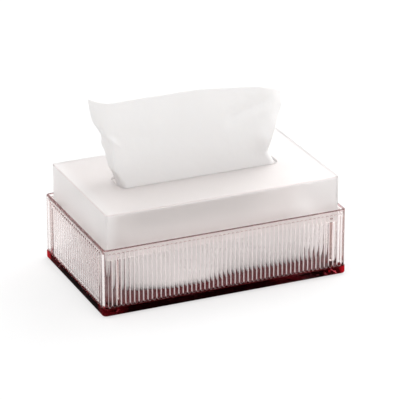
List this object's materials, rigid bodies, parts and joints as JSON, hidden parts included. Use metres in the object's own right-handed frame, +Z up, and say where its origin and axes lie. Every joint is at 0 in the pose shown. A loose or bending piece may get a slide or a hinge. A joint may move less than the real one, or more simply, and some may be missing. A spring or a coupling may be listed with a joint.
{
  "type": "tissue box",
  "caption": "Low rectangular tissue box: fluted clear tinted tray with a lift-off frosted cover, a soft pack of tissues inside and a sheet standing in the slot.",
  "frame": {"origin": "centre of the surface that the box stands on, under the middle of the tray", "axes": "+Z up, +X along the long front face to the right, the front face looks towards -Y"},
  "size_m": [0.23, 0.14, 0.1675],
  "materials": {
    "tinted_clear_plastic": "clear moulded plastic with a rose tint that turns deep red along its edges",
    "frosted_plastic": "frosted translucent white",
    "soft_pad": "soft translucent pad",
    "milky_film": "thin milky film",
    "tissue_paper": "soft matt white paper"
  },
  "bodies": {
    "tray": {"tray": "tinted_clear_plastic", "pad_front_left": "soft_pad", "pad_front_right": "soft_pad", "pad_back_left": "soft_pad", "pad_back_right": "soft_pad", "pack_film": "milky_film", "tissue_stack": "tissue_paper"},
    "cover": {"cover": "frosted_plastic"},
    "sheet": {"pulled_tissue": "tissue_paper"}
  },
  "joints": [
    {"name": "cover_lift", "type": "slide", "parent": "tray", "child": "cover", "axis": [0, 0, 1], "range_m": [0, 0.1]},
    {"name": "tissue_pull", "type": "slide", "parent": "cover", "child": "sheet", "axis": [0, 0, 1], "range_m": [0, 0.045]}
  ]
}
